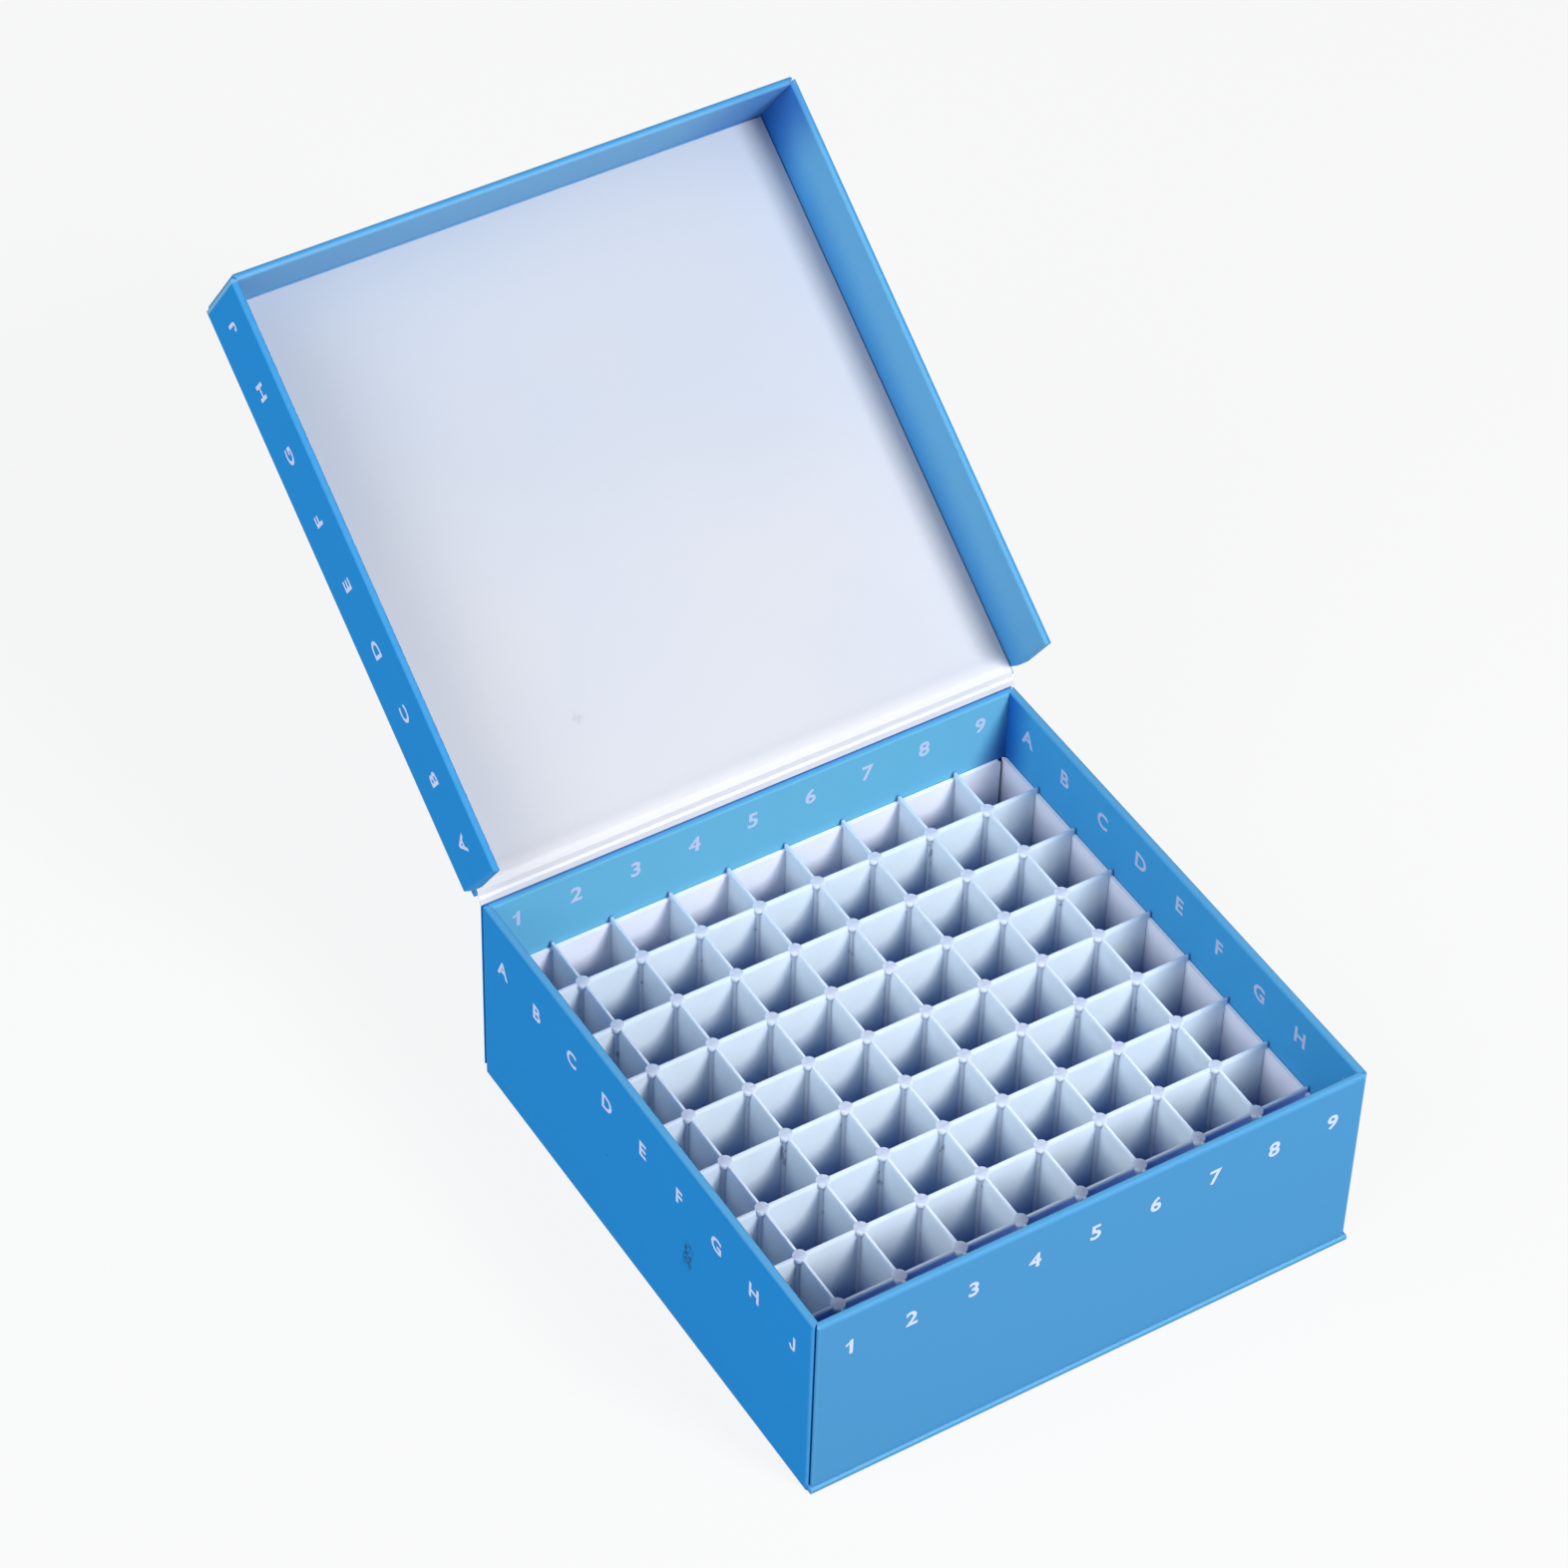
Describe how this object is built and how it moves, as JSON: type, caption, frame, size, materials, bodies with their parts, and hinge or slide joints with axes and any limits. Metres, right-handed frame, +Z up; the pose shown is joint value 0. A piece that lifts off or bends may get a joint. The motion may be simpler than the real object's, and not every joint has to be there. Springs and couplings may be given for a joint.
{
  "type": "cardboard freezer box",
  "caption": "Square covered-board freezer box with a hinged lid standing open, a card liner and a moulded grid divider for tubes.",
  "frame": {"origin": "centre of the tray's underside", "axes": "+Z up, -Y towards the front with the numbers, +Y towards the hinge, +X to the right seen from the front"},
  "size_m": [0.1322, 0.2365, 0.1446],
  "materials": {
    "blue_board": "satin blue covering paper on greyboard",
    "hinge_paper": "satin blue covering paper",
    "white_card": "matt white card",
    "white_paper": "smooth white lining paper",
    "white_moulding": "slightly translucent white moulding"
  },
  "bodies": {
    "box": {"tray": "blue_board", "liner_frame": "white_card", "divider": "white_moulding", "hinge_cover": "hinge_paper"},
    "lid": {"lid": "blue_board", "lid_lining": "white_paper"}
  },
  "joints": [
    {"name": "lid_hinge", "type": "hinge", "parent": "box", "child": "lid", "pos_m": [0, 0.06457, 0.05085], "axis": [-1, 0, 0], "range_deg": [-144, 51], "deforming": ["lid_lining", "hinge_cover"]}
  ]
}
